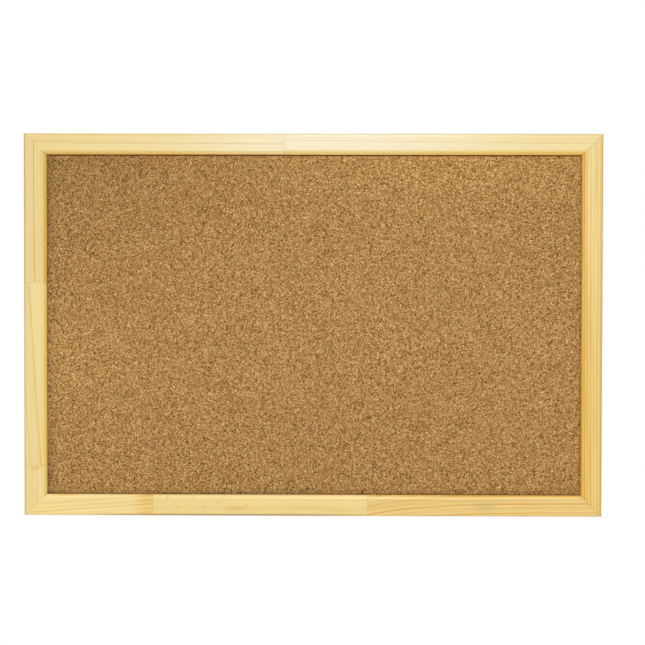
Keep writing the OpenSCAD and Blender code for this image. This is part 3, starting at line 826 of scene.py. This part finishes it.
def cork_material():
    g = G("pressed_cork")
    X, Y, Z = g.xyz()
    P = g.vec(X, Y, Z)
    F = g.vec(X + Y * 0.7, Z + Y * 0.7, 0.0)      # the face laid flat; the cut edges shear through it
    warp = g.noise(P, 0.9, 2.0, 0.6, color=True)
    Q = g.vadd(F, warp, 0.8)

    def cells(size, feature="F1"):
        return g.voronoi(Q, 1.0 / size, feature, 1.0, True)
    grain = cells(1.16)
    grain_rgb = g.split(S(g, grain.outputs["Color"]))
    edge = S(g, cells(1.16, "DISTANCE_TO_EDGE").outputs["Distance"]) * 1.16
    crumb = cells(0.70)
    crumb_rgb = g.split(S(g, crumb.outputs["Color"]))
    fizz = g.noise(Q, 1 / 1.05, 1.0, 0.5) - 0.5
    body = g.noise(Q, 2.6, 2.0, 0.6) - 0.5

    tone = g.clamp((grain_rgb[0] - 0.5) * 0.55 + (crumb_rgb[0] - 0.5) * 0.58 + fizz * 1.06 + body * 0.35 + 0.60)
    col = g.ramp(tone, [
        (0.00, lin((84, 50, 20))),
        (0.16, lin((124, 84, 40))),
        (0.38, lin((162, 119, 62))),
        (0.60, lin((184, 142, 84))),
        (0.82, lin((208, 168, 108))),
        (1.00, lin((232, 198, 142)))])
    crev = g.step(edge, 0.0, 0.20, 1.0, 0.0)
    col = g.mix(crev * 0.60, col, lin((80, 46, 18)))
    # flecks of bark and of pale core
    speck_at = g.vadd(F, warp, 1.2)
    bark = g.voronoi(speck_at, 1 / 2.3, "F1", 1.0, True)
    bark_rgb = g.split(S(g, bark.outputs["Color"]))
    near = g.step(S(g, bark.outputs["Distance"]), 0.13, 0.24, 1.0, 0.0)
    fleck = g.step(bark_rgb[2], 0.56, 0.60) * near
    pale = g.step(bark_rgb[1], 0.84, 0.88) * near * (1.0 - fleck)
    col = g.mix(fleck * 0.85, col, lin((58, 30, 12)))
    col = g.mix(pale * 0.60, col, lin((240, 210, 158)))
    big = g.voronoi(g.vadd(F, warp, 1.0), 1 / 8.0, "F1", 1.0, True)
    big_rgb = g.split(S(g, big.outputs["Color"]))
    dot = g.step(S(g, big.outputs["Distance"]), 0.075, 0.125, 1.0, 0.0)
    bark_dot = g.step(big_rgb[0], 0.58, 0.62) * dot
    col = g.mix(bark_dot * 0.85, col, lin((52, 32, 18)))
    col = g.mix(g.step(big_rgb[1], 0.86, 0.90) * dot * (1.0 - bark_dot) * 0.6, col, lin((242, 222, 178)))
    # slow drift of tone over the sheet, partly the cork's own tone and partly painted light and shade (darker at the
    # top left, brighter at the top right, darker along the bottom); a scuff; and painted shade with a painted shadow
    # line beside the frame
    slow = g.noise(P, 1 / 70.0, 2.0, 0.5) - 0.5
    mid = g.noise(P, 1 / 9.0, 2.0, 0.5) - 0.5
    scr_a, scr_b = (X - 178.0) * (1 / 15.0), (Z - 347.0) * (1 / 4.0)
    scuff = g.ex(-(scr_a * scr_a + scr_b * scr_b)) * g.step(g.noise(g.vec(X * 0.35, Z * 1.4, 0.0), 1.0, 2.0), 0.46, 0.60)
    shade = slow * 0.08 + mid * 0.05 + 1.0

    def patch(x, z, rx, rz, k):
        a, b = (X - x) * (1.0 / rx), (Z - z) * (1.0 / rz)
        return g.ex(-(a * a + b * b)) * k
    # broad patches: part the cork's own tone, part painted light and shade
    shade = shade + patch(-290, 400, 200, 120, -0.20) + patch(170, 400, 190, 70, 0.15) + patch(-290, 150, 80, 60, 0.08) \
        + patch(-20, 0, 340, 120, -0.10)
    el, er, eb, et = X + (HW - RW - WIDE), (HW - RW) - X, Z - RW, (H - RW) - Z
    # painted shade on the cork beside the frame, widest along the left rail
    shade = shade * g.step(eb, 0.0, 9.0, 0.84, 1.0) * g.step(el, 0.0, 14.0, 0.80, 1.0) * g.step(er, -0.3, 3.5, 0.80, 1.0)
    col = g.scale(col, shade)
    col = g.mix(scuff * 0.16, col, lin((226, 196, 148)))
    col = g.gain(col, CORK_GAIN)
    # crease: painted shadow, a dark line on the cork under the rails' lips, darkest under the top rail
    crease = g.mx(g.step(et, 0.7, 1.8, 0.92, 0.0), g.mx(g.step(eb, 0.2, 1.4, 0.55, 0.0), g.step(el, 0.0, 1.2, 0.30, 0.0)))
    col = g.mix(crease, col, lin((92, 46, 12)))
    g.set("Base Color", col)
    g.set("Roughness", 0.80 + body * 0.2)
    g.set("Specular IOR Level", 0.15)
    h = g.step(edge, 0.0, 0.40) * 0.15 + grain_rgb[1] * 0.13 + crumb_rgb[1] * 0.08 + body * 0.10 - fleck * 0.10
    g.bump(h, 1.0)
    return g.mat


CORK_GAIN = (1.178, 1.112, 0.985)


def cork_piece():
    """The sheet: its open face is a field of pressed grains, each a low dome."""
    x1, z0, z1 = HW - RW + 0.6, RW - 0.6, H - RW + 0.6
    step = 1.49
    nx, nz = int(2 * x1 / step), int((z1 - z0) / step)
    xs, zs = np.linspace(-x1, x1, nx + 1), np.linspace(z0, z1, nz + 1)
    gx, gz = np.meshgrid(xs, zs, indexing="ij")
    rng = np.random.RandomState(11)
    jx, jz = rng.uniform(-0.42, 0.42, gx.shape) * step, rng.uniform(-0.42, 0.42, gx.shape) * step
    jx[0, :] = jx[-1, :] = jx[:, 0] = jx[:, -1] = 0
    jz[0, :] = jz[-1, :] = jz[:, 0] = jz[:, -1] = 0
    px, pz = gx + jx, gz + jz
    # grains on a jittered 2.4 mm grid: height of the nearest grain, domed
    c = 2.4
    mx, mz = int(2 * x1 / c) + 3, int((z1 - z0) / c) + 3
    cx = (np.arange(mx)[:, None] - 1 + rng.uniform(0, 1, (mx, mz))) * c - x1
    cz = (np.arange(mz)[None, :] - 1 + rng.uniform(0, 1, (mx, mz))) * c + z0
    ch = rng.uniform(0, 1, (mx, mz))
    ix, iz = np.floor((px + x1) / c).astype(int) + 1, np.floor((pz - z0) / c).astype(int) + 1
    best, hh = np.full(px.shape, 1e9), np.zeros(px.shape)
    for dx in (-1, 0, 1):
        for dz in (-1, 0, 1):
            a, b = np.clip(ix + dx, 0, mx - 1), np.clip(iz + dz, 0, mz - 1)
            dd = np.hypot(px - cx[a, b], pz - cz[a, b])
            near = dd < best
            best, hh = np.where(near, dd, best), np.where(near, ch[a, b], hh)
    low = sum(np.sin(px * rng.uniform(0.02, 0.09) + pz * rng.uniform(-0.09, 0.09) + rng.uniform(0, 6.3)) for _ in range(8)) / 8
    dip = 0.05 + 0.07 * hh + 0.04 * np.clip(best / 1.7, 0, 1) ** 2 + 0.10 * rng.uniform(0, 1, px.shape) + 0.05 * (0.5 + 0.5 * low)
    rim = np.minimum(np.minimum(x1 - abs(px), pz - z0), z1 - pz)
    dip = dip + 0.20 * np.clip(1 - rim / 1.8, 0, 1)
    top = -VC + dip
    verts = list(zip(px.ravel(), top.ravel(), pz.ravel()))
    idx = np.arange((nx + 1) * (nz + 1)).reshape(nx + 1, nz + 1)
    q = np.stack([idx[:-1, :-1], idx[1:, :-1], idx[1:, 1:], idx[:-1, 1:]], -1).reshape(-1, 4)
    faces = [tuple(int(k) for k in r) for r in q]
    # the covered margin, the edges and the back
    border = list(idx[:, 0]) + list(idx[-1, 1:]) + list(idx[-2::-1, -1]) + list(idx[0, -2:0:-1])
    border = [int(k) for k in border]
    px0, px1, pz0, pz1 = ck_lo[0], ck_hi[0], ck_lo[2], ck_hi[2]

    def out(x, z):
        return (px0 + (x + x1) / (2 * x1) * (px1 - px0), pz0 + (z - z0) / (z1 - z0) * (pz1 - pz0))
    n = len(border)
    base = len(verts)
    for dy in (-VC + 0.02, ck_hi[1]):
        for k in border:
            x, _, z = verts[k]
            ox, oz = out(x, z)
            verts.append((ox, dy, oz))
    for i in range(n):
        j = (i + 1) % n
        faces.append((border[j], border[i], base + i, base + j))
        faces.append((base + j, base + i, base + n + i, base + n + j))
    faces.append(tuple(base + n + i for i in range(n))[::-1])
    return new_object("cork_face", verts, faces, 60)


finish_piece(cork_piece(), cork_material(), "board", "cork", "cork_sheet")


# ------------------------------------------------------------------ hardboard and core


def hardboard_material():
    g = G("hardboard_screen_back")
    X, Y, Z = g.xyz()
    P = g.vec(X, Y, Z)
    back = g.step(Y, bb_hi[1] - 0.6, bb_hi[1] - 0.3)
    wob = g.noise(P, 1 / 30.0, 2.0, 0.5, color=True)
    Q = g.vadd(P, wob, 1.6)
    sp = g.n("ShaderNodeSeparateXYZ")
    g.put(sp.inputs[0], Q)
    qx, qz = S(g, sp.outputs[0]), S(g, sp.outputs[2])
    k = 2 * math.pi / 1.35
    sx, sz = g.m("SINE", qx * k), g.m("SINE", qz * k)
    weave = g.m("SINE", (qx + qz) * (k / 2)) * g.m("SINE", (qx - qz) * (k / 2))
    mesh = g.step(sx * sz * 0.5 + weave * 0.3 + 0.5, 0.15, 0.85)
    pulp = g.noise(P, 0.9, 4.0, 0.65) - 0.5
    fib = g.noise(g.vec(X * 0.35 + pulp * 2.0, Z * 1.3 + pulp * 2.0, 0.0), 1.0, 3.0, 0.6) - 0.5
    blot = g.noise(P, 1 / 45.0, 3.0, 0.55) - 0.5
    flat = g.vec(X + Y, Z + Y, 0.0)
    mott = g.noise(g.vadd(flat, wob, 4.0), 1 / 5.5, 3.0, 0.62) - 0.5
    tuft = g.noise(g.vec(X * 0.10, Z * 0.42, pulp * 0.6), 1.0, 4.0, 0.7) - 0.5
    chip = g.voronoi(g.vadd(flat, wob, 3.0), 1 / 2.4, "F1", 1.0, True)
    chips = g.split(S(g, chip.outputs["Color"]))
    dark = g.step(chips[0], 0.84, 0.90) * g.step(S(g, chip.outputs["Distance"]), 0.12, 0.34, 1.0, 0.0)
    pale = g.step(chips[1], 0.88, 0.93) * g.step(S(g, chip.outputs["Distance"]), 0.08, 0.30, 1.0, 0.0)
    f = g.clamp(pulp * 0.75 + fib * 0.55 + blot * 0.22 + mott * 0.75 + tuft * 0.35 + (mesh - 0.5) * 0.34 * back + 0.5)
    col = g.ramp(f, [(0.0, lin((82, 55, 34))), (0.4, lin((118, 82, 52))), (0.65, lin((142, 103, 68))), (1.0, lin((174, 134, 94)))])
    col = g.mix(dark * 0.7, col, lin((58, 36, 22)))
    col = g.mix(pale * 0.6, col, lin((202, 166, 122)))
    # painted shade: the hardboard darker within 5 mm of its edges, along the rebate walls
    eu = g.mn(bb_hi[0] - g.ab(X), g.mn(Z - bb_lo[2], bb_hi[2] - Z))
    col = g.scale(col, g.step(eu, 0.0, 5.0, 0.72, 1.0))
    g.set("Base Color", col)
    g.set("Roughness", 0.74 + pulp * 0.16)
    g.set("Specular IOR Level", 0.3)
    g.bump(mesh * 0.10 * back + pulp * 0.05 + fib * 0.04, 1.0)
    return g.mat


def plate(name, lo, hi, chamfer, nx, nz, sag):
    """A sheet with eased edges; its rear face (towards +y) wanders by sag."""
    xs = np.concatenate([[lo[0], lo[0] + chamfer], np.linspace(lo[0], hi[0], nx)[1:-1], [hi[0] - chamfer, hi[0]]])
    zs = np.concatenate([[lo[2], lo[2] + chamfer], np.linspace(lo[2], hi[2], nz)[1:-1], [hi[2] - chamfer, hi[2]]])
    verts, faces = [], []
    for side in (0, 1):
        for i, x in enumerate(xs):
            for j, z in enumerate(zs):
                edge = i in (0, len(xs) - 1) or j in (0, len(zs) - 1)
                y = lo[1] + (chamfer * 0.5 if edge else 0.0) if side == 0 else \
                    hi[1] - (chamfer if edge else 0.0) - sag * (0.5 + 0.5 * math.sin(x * 0.013 + 1.0) * math.sin(z * 0.017))
                verts.append((x, y, z))
    m = len(zs)
    off = len(xs) * m
    for i in range(len(xs) - 1):
        for j in range(m - 1):
            a = i * m + j
            faces.append((a, a + 1, a + m + 1, a + m))
            faces.append((off + a, off + a + m, off + a + m + 1, off + a + 1))
    for i in range(len(xs) - 1):
        for j in (0, m - 1):
            a = i * m + j
            faces.append((a, a + m, off + a + m, off + a) if j == 0 else (a + m, a, off + a, off + a + m))
    for j in range(m - 1):
        for i in (0, len(xs) - 1):
            a = i * m + j
            faces.append((a + 1, a, off + a, off + a + 1) if i == 0 else (a, a + 1, off + a + 1, off + a))
    return new_object(name, verts, faces, 40)


finish_piece(plate("hardboard_back", bb_lo, bb_hi, 0.35, 40, 26, 0.03), hardboard_material(), "board", "hardboard", "backing_board")


def fibre_material():
    g = G("soft_fibreboard")
    X, Y, Z = g.xyz()
    P = g.vec(X, Y, Z)
    n1 = g.noise(P, 0.8, 4.0, 0.65) - 0.5
    n2 = g.noise(g.vec(X * 0.4, Y * 3.0, Z * 0.4), 1.0, 3.0, 0.6) - 0.5
    f = g.clamp(n1 * 0.8 + n2 * 0.6 + 0.5)
    g.set("Base Color", g.ramp(f, [(0.0, lin((150, 128, 96))), (0.5, lin((190, 168, 134))), (1.0, lin((222, 204, 172)))]))
    g.set("Roughness", 0.9 + n1 * 0.1)
    g.bump(n1 * 0.12 + n2 * 0.08, 1.0)
    return g.mat


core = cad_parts["core_board"]
core.data.materials.clear()
core.data.materials.append(fibre_material())


# ------------------------------------------------------------------ metal


def metal(name, base, rough, grain=(1.0, 1.0, 1.0), spots=0.0, tint=None):
    g = G(name)
    X, Y, Z = g.xyz()
    P = g.vec(X, Y, Z)
    n1 = g.noise(P, 0.45, 3.0, 0.6) - 0.5
    n2 = g.noise(g.vec(X * grain[0], Y * grain[1], Z * grain[2]), 1.0, 3.0, 0.6) - 0.5
    fine = g.noise(P, 6.0, 2.0, 0.5) - 0.5
    col = g.scale(g.mix(0.0, lin(base), lin(base)), n1 * 0.14 + n2 * 0.10 + fine * 0.02 + 1.0)
    if tint:
        col = g.mix(g.step(n1, -0.05, 0.28) * 0.35, col, lin(tint))
    if spots:
        sp = g.step(g.noise(P, 1.3, 3.0, 0.6), 0.60, 0.72) * spots
        col = g.mix(sp, col, lin((104, 78, 58)))
    g.set("Base Color", col)
    g.set("Metallic", 1.0)
    g.set("Roughness", rough + n2 * 0.16 + n1 * 0.10)
    g.bump(n2 * 0.0016, 1.0)
    return g.mat


M_ZINC = metal("bright_zinc", (206, 209, 214), 0.31, (1.1, 1.1, 0.16), 0.0, (214, 205, 170))
M_RING = metal("nickel_wire", (218, 214, 204), 0.17, (2.0, 2.0, 2.0))
M_STRIP = metal("rolled_steel", (168, 170, 174), 0.36, (3.0, 3.0, 0.5), 0.35)

# V-nails, driven a touch below the wood
vparts = [v_nail_prism(sx, sz, u, 0.0, -VN_H, -0.18) for sx, sz in CORNERS for u in VN]
vn = joined("corner_v_nails", vparts, 30)
bevel(vn, 0.07, 2)
finish_piece(vn, M_STRIP, "board", "steel", "v_nails")


def framer_point(rail, at):
    """A flat steel point, its outline carried through its thickness; the two pressed ribs on it are made by rib."""
    place = RAILS[rail][1]
    outline = [(a, b + UW) for a, b in point_outline(0.0)]
    return prism("p", outline, -VB + 0.005, -VB + PT_T, lambda a, b, h: place(at + a, b, -h))


def rib(rail, at, off):
    place = RAILS[rail][1]
    pts, faces = [], []
    n, m = 14, 7
    u0, u1 = UW + 0.8, UW + PT_OUT - 1.6
    for i in range(n + 1):
        t = i / n
        u = u0 + (u1 - u0) * t
        k = math.sin(math.pi * min(max(t, 0.0), 1.0)) ** 0.35 if 0 < t < 1 else 0.0
        for j in range(m + 1):
            a = math.pi * j / m
            pts.append(place(at + off - 0.55 * math.cos(a) * max(k, 0.05), u, VB - PT_T + 0.06 - (0.30 * k) * math.sin(a)))
    for i in range(n):
        for j in range(m):
            p = i * (m + 1) + j
            faces.append((p, p + 1, p + m + 2, p + m + 1))
    k = m + 1
    faces.append(tuple(range(k)))
    faces.append(tuple(n * k + j for j in range(k))[::-1])
    for i in range(n):
        faces.append((i * k, (i + 1) * k, (i + 1) * k + m, i * k + m))
    return pts, faces


fp = joined("framers_point_set", [framer_point(r, at) for r, at in POINTS], 30)
bevel(fp, 0.09, 2)
fr_ = joined("framers_point_ribs", [rib(r, at, o) for r, at in POINTS for o in (-2.2, 2.2)], 45)
finish_piece(fp, M_STRIP, "board", "steel", "framers_points")
finish_piece(fr_, M_STRIP, "board", "steel", "framers_points")


def strap_path():
    """Middle line of the folded strap as (y, z) points from the inner tail to the outer tail."""
    t, rm = 0.8, 1.05 + 0.4
    tail = -18.5
    pts = [(0.4, z) for z in list(np.linspace(tail, tail + 3.5, 12)) + list(np.linspace(tail + 3.9, -0.3, 16))]
    for i in range(0, 31):
        a = math.radians(180 - 225 * i / 30)
        pts.append((EYE_Y + rm * math.cos(a), rm * math.sin(a)))
    y2 = 0.85 + 0.4
    p0 = np.array(pts[-1])
    dirn = np.array([-1, -1]) / math.sqrt(2)
    run = (p0[0] - y2) * math.sqrt(2)
    corner = p0 + dirn * run
    r = 1.0
    tl = r * math.tan(math.radians(22.5))
    pts.append(tuple(p0 + dirn * (run - tl) * 0.5))
    start = corner - dirn * tl
    # the bend back to straight: centre on the wall side's far side
    nrm = np.array([dirn[1], -dirn[0]])
    if (corner + np.array([0, -1]) - start) @ nrm < 0:
        nrm = -nrm
    cen = start + nrm * r
    for i in range(0, 9):
        ang = math.radians(45 * i / 8)
        v = start - cen
        for sg in (1,):
            c, s_ = math.cos(ang), math.sin(ang)
            cross = dirn[0] * nrm[1] - dirn[1] * nrm[0]
            s_ = s_ if cross > 0 else -s_
            pts.append(tuple(cen + np.array([c * v[0] - s_ * v[1], s_ * v[0] + c * v[1]])))
    zb = pts[-1][1]
    pts += [(y2, z) for z in list(np.linspace(zb - 0.4, tail + 3.9, 16)) + list(np.linspace(tail + 3.5, tail, 12))]
    return pts


def strap(side):
    pts = np.array(strap_path())
    d = np.gradient(pts, axis=0)
    d /= np.linalg.norm(d, axis=1)[:, None]
    nrm = np.stack([-d[:, 1], d[:, 0]], 1)
    tail, r = -18.5, 3.5
    verts, faces = [], []
    for (y, z), (ny, nz) in zip(pts, nrm):
        w = r
        dz = (tail + r) - z
        if dz > 0:
            w = math.sqrt(max(r * r - dz * dz, 0.16))
        for sx, sn in ((-1, -1), (1, -1), (1, 1), (-1, 1)):
            verts.append((side * HX + sx * w, y + sn * ny * 0.4, HZ + z + sn * nz * 0.4))
    n = len(pts)
    for k in range(n - 1):
        for i in range(4):
            j = (i + 1) % 4
            faces.append((4 * k + i, 4 * k + j, 4 * k + 4 + j, 4 * k + 4 + i))
    faces.append((0, 1, 2, 3))
    faces.append((4 * n - 1, 4 * n - 2, 4 * n - 3, 4 * n - 4))
    name = "strap_" + ("left" if side < 0 else "right")
    ob = new_object(name, verts, faces, 40)
    hole = joined("hole", [lathe([(0, 3.0), (1.6, 3.0), (1.6, -1.0), (0, -1.0)], 40,
                                 lambda p, q_, h: (side * HX + p, h, SCREW_Z + q_))])
    cut(ob, hole, 40)
    bpy.data.objects.remove(hole)
    bevel(ob, 0.12, 2, 50, 40)
    return ob


def screw(side):
    top = 1.65

    def place(p, q_, h):
        return (side * HX + p, h, SCREW_Z + q_)
    prof = [(0, top + 2.1), (0.8, top + 2.08), (1.5, top + 1.98), (2.1, top + 1.72), (2.5, top + 1.34), (2.72, top + 0.9),
            (2.78, top + 0.45), (2.76, top + 0.12), (2.66, top + 0.01), (1.52, top), (1.48, top - 0.3), (1.48, 0.0)]
    h = 0.0
    while h > -9.2:                                   # thread
        prof += [(1.12, h - 0.35), (1.16, h - 0.62), (1.46, h - 0.78), (1.46, h - 0.88), (1.12, h - 1.08)]
        h -= 1.1
    prof += [(0.9, -10.4), (0.55, -11.2), (0.0, -11.9)]
    name = "screw_" + ("left" if side < 0 else "right")
    v, f = lathe(prof, 48, place)
    ob = new_object(name, v, f, 35)
    parts = []
    for a in (0.0, math.pi / 2):
        c, s_ = math.cos(a + 0.5 * side), math.sin(a + 0.5 * side)
        lo_, hi_ = [], []
        for px, pz in ((-1.55, -0.36), (1.55, -0.36), (1.55, 0.36), (-1.55, 0.36)):
            hi_.append(place(c * px - s_ * pz, s_ * px + c * pz, top + 2.6))
        for px, pz in ((-0.7, -0.26), (0.7, -0.26), (0.7, 0.26), (-0.7, 0.26)):
            lo_.append(place(c * px - s_ * pz, s_ * px + c * pz, top + 0.75))
        parts.append((lo_ + hi_, [(0, 1, 2, 3), (7, 6, 5, 4), (0, 4, 5, 1), (1, 5, 6, 2), (2, 6, 7, 3), (3, 7, 4, 0)]))
    for k, p in enumerate(parts):
        c_ = joined("cross", [p])
        cut(ob, c_, 35)
        bpy.data.objects.remove(c_)
    return ob


def ring(side):
    """The D-ring: a straight bar, two bends, two legs and the bow, swept with a 2 mm wire."""
    hw_, er, leg = 5.5, 1.75, 1.75
    bx = hw_ - er
    path = [(x, 0.0) for x in np.linspace(-bx, bx, 9)]
    path += [(bx + er * math.sin(t), er - er * math.cos(t)) for t in np.linspace(0, math.pi / 2, 9)[1:]]
    path += [(hw_, er + leg * t) for t in (0.33, 0.66, 1.0)]
    path += [(hw_ * math.cos(t), er + leg + hw_ * math.sin(t)) for t in np.linspace(0, math.pi, 33)[1:]]
    path += [(-hw_, er + leg * t) for t in (0.66, 0.33, 0.0)]
    path += [(-bx - er * math.cos(t), er - er * math.sin(t)) for t in np.linspace(0, math.pi / 2, 9)[1:-1]]
    pts = np.array(path)
    n, m, wr = len(pts), 24, 1.0
    d = np.roll(pts, -1, 0) - np.roll(pts, 1, 0)
    d /= np.linalg.norm(d, axis=1)[:, None]
    nrm = np.stack([-d[:, 1], d[:, 0]], 1)
    verts, faces = [], []
    for (x, z), (nx_, nz_) in zip(pts, nrm):
        for j in range(m):
            a = 2 * math.pi * j / m
            verts.append((side * HX + x + nx_ * wr * math.cos(a), EYE_Y + wr * math.sin(a), HZ + z + nz_ * wr * math.cos(a)))
    for k in range(n):
        for j in range(m):
            a, b = k * m, ((k + 1) % n) * m
            faces.append((a + j, a + (j + 1) % m, b + (j + 1) % m, b + j))
    return new_object("ring_" + ("left" if side < 0 else "right"), verts, faces, 60)


for side, word in ((-1, "left"), (1, "right")):
    finish_piece(strap(side), M_ZINC, "board", "zinc_steel", "hanger_strap_" + word)
    finish_piece(screw(side), M_ZINC, "board", "zinc_steel", "hanger_screw_" + word)
    finish_piece(ring(side), M_RING, "ring_" + word, "ring_wire", "d_ring_" + word)


# ------------------------------------------------------------------ studio

scene = bpy.context.scene
scene.view_settings.view_transform = "Standard"
scene.view_settings.look = "None"
scene.view_settings.exposure = 0.0
scene.view_settings.gamma = 1.0


def area(name, loc, target, size, energy, color=(1, 1, 1), spread=math.pi):
    li = bpy.data.lights.new(name, "AREA")
    li.shape = "RECTANGLE"
    li.size, li.size_y = size
    li.energy = energy
    li.color = color
    li.spread = spread
    ob = bpy.data.objects.new(name, li)
    ob.location = loc
    ob.rotation_euler = (Vector(target) - Vector(loc)).to_track_quat("-Z", "Y").to_euler()
    scene.collection.objects.link(ob)
    return ob


mid = (0.0, 0.0, H / 2 * MM)
area("main", (0.14, -2.15, 0.96), mid, (0.50, 0.34), 20.0)
area("front", (0.25, -2.9, 0.75), mid, (2.6, 1.6), 15.2)
area("fill", (-1.5, -1.5, 0.4), mid, (0.9, 1.1), 2.0)
area("back_key", (-0.9, 1.5, 1.5), mid, (2.2, 1.5), 22.0)
area("back_fill", (1.5, 1.2, 0.4), mid, (1.0, 1.0), 9.0)

world = bpy.data.worlds.new("studio")
scene.world = world
world.use_nodes = True
wt = world.node_tree
wt.nodes.clear()
wo = wt.nodes.new("ShaderNodeOutputWorld")
bg_cam, bg_light = wt.nodes.new("ShaderNodeBackground"), wt.nodes.new("ShaderNodeBackground")
mixs, lp = wt.nodes.new("ShaderNodeMixShader"), wt.nodes.new("ShaderNodeLightPath")
bg_cam.inputs[0].default_value = (1, 1, 1, 1)
bg_cam.inputs[1].default_value = 1.0
geo = wt.nodes.new("ShaderNodeTexCoord")
sep = wt.nodes.new("ShaderNodeSeparateXYZ")
rampw = wt.nodes.new("ShaderNodeValToRGB")
mr = wt.nodes.new("ShaderNodeMapRange")
wt.links.new(geo.outputs["Generated"], sep.inputs[0])
wt.links.new(sep.outputs[2], mr.inputs["Value"])
mr.inputs["From Min"].default_value = -1.0
mr.inputs["From Max"].default_value = 1.0
wt.links.new(mr.outputs[0], rampw.inputs[0])
rampw.color_ramp.elements[0].position = 0.25
rampw.color_ramp.elements[0].color = (0.18, 0.175, 0.17, 1)
rampw.color_ramp.elements[1].position = 0.85
rampw.color_ramp.elements[1].color = (0.85, 0.87, 0.90, 1)
wt.links.new(rampw.outputs[0], bg_light.inputs[0])
bg_light.inputs[1].default_value = 0.62
wt.links.new(lp.outputs["Is Camera Ray"], mixs.inputs[0])
wt.links.new(bg_light.outputs[0], mixs.inputs[1])
wt.links.new(bg_cam.outputs[0], mixs.inputs[2])
wt.links.new(mixs.outputs[0], wo.inputs[0])

# plain pale floor, well below the hung board, fading out to the white of the room
fz, fr0, fr1 = -0.42, 0.55, 1.55
ring_n = 96
fv = [(0.0, 0.0, fz)] + [(r * math.cos(2 * math.pi * i / ring_n), r * math.sin(2 * math.pi * i / ring_n), fz)
                         for r in (0.5, 1.0, fr1) for i in range(ring_n)]
ff = [(0, 1 + i, 1 + (i + 1) % ring_n) for i in range(ring_n)]
for k in range(2):
    a0, b0 = 1 + k * ring_n, 1 + (k + 1) * ring_n
    ff += [(a0 + i, b0 + i, b0 + (i + 1) % ring_n, a0 + (i + 1) % ring_n) for i in range(ring_n)]
fm = bpy.data.meshes.new("floor")
fm.from_pydata(fv, [], ff)
floor = bpy.data.objects.new("floor", fm)
scene.collection.objects.link(floor)
gf = G("pale_floor")
fx, fy, fz_ = gf.xyz()
mottle = gf.noise(gf.vec(fx, fy, 0.0), 0.004, 2.0)
gf.set("Base Color", gf.scale(gf.mix(0.0, (0.88, 0.88, 0.87, 1), (1, 1, 1, 1)), mottle * 0.03 + 0.985))
gf.set("Roughness", 0.9)
gf.set("Emission Color", (1.0, 1.0, 1.0, 1.0))
gf.set("Emission Strength", 0.10)
rad = gf.m("SQRT", fx * fx + fy * fy)
gf.set("Alpha", gf.step(rad, fr0 * 1000, (fr1 - 0.02) * 1000, 1.0, 0.0))
fm.materials.append(gf.mat)

# camera: a long lens almost square on, a little above and to the right of the middle
cam_d = bpy.data.cameras.new("camera")
cam = bpy.data.objects.new("camera", cam_d)
scene.collection.objects.link(cam)
yaw, pitch, roll = math.radians(-0.6615), math.radians(-2.0289), math.radians(0.1136)
fwd = Vector((math.sin(yaw) * math.cos(pitch), math.cos(yaw) * math.cos(pitch), math.sin(pitch)))
right = fwd.cross(Vector((0, 0, 1))).normalized()
up = right.cross(fwd)
r2 = right * math.cos(roll) + up * math.sin(roll)
u2 = -right * math.sin(roll) + up * math.cos(roll)
rot = Matrix((r2, u2, -fwd)).transposed().to_4x4()
cam.matrix_world = Matrix.Translation((0.03865, -2.5, 0.28944)) @ rot
cam_d.sensor_width = 36.0
cam_d.lens = 2398.33 / 645.0 * 36.0
cam_d.clip_start, cam_d.clip_end = 0.05, 30.0
scene.camera = cam

bpy.context.view_layer.update()
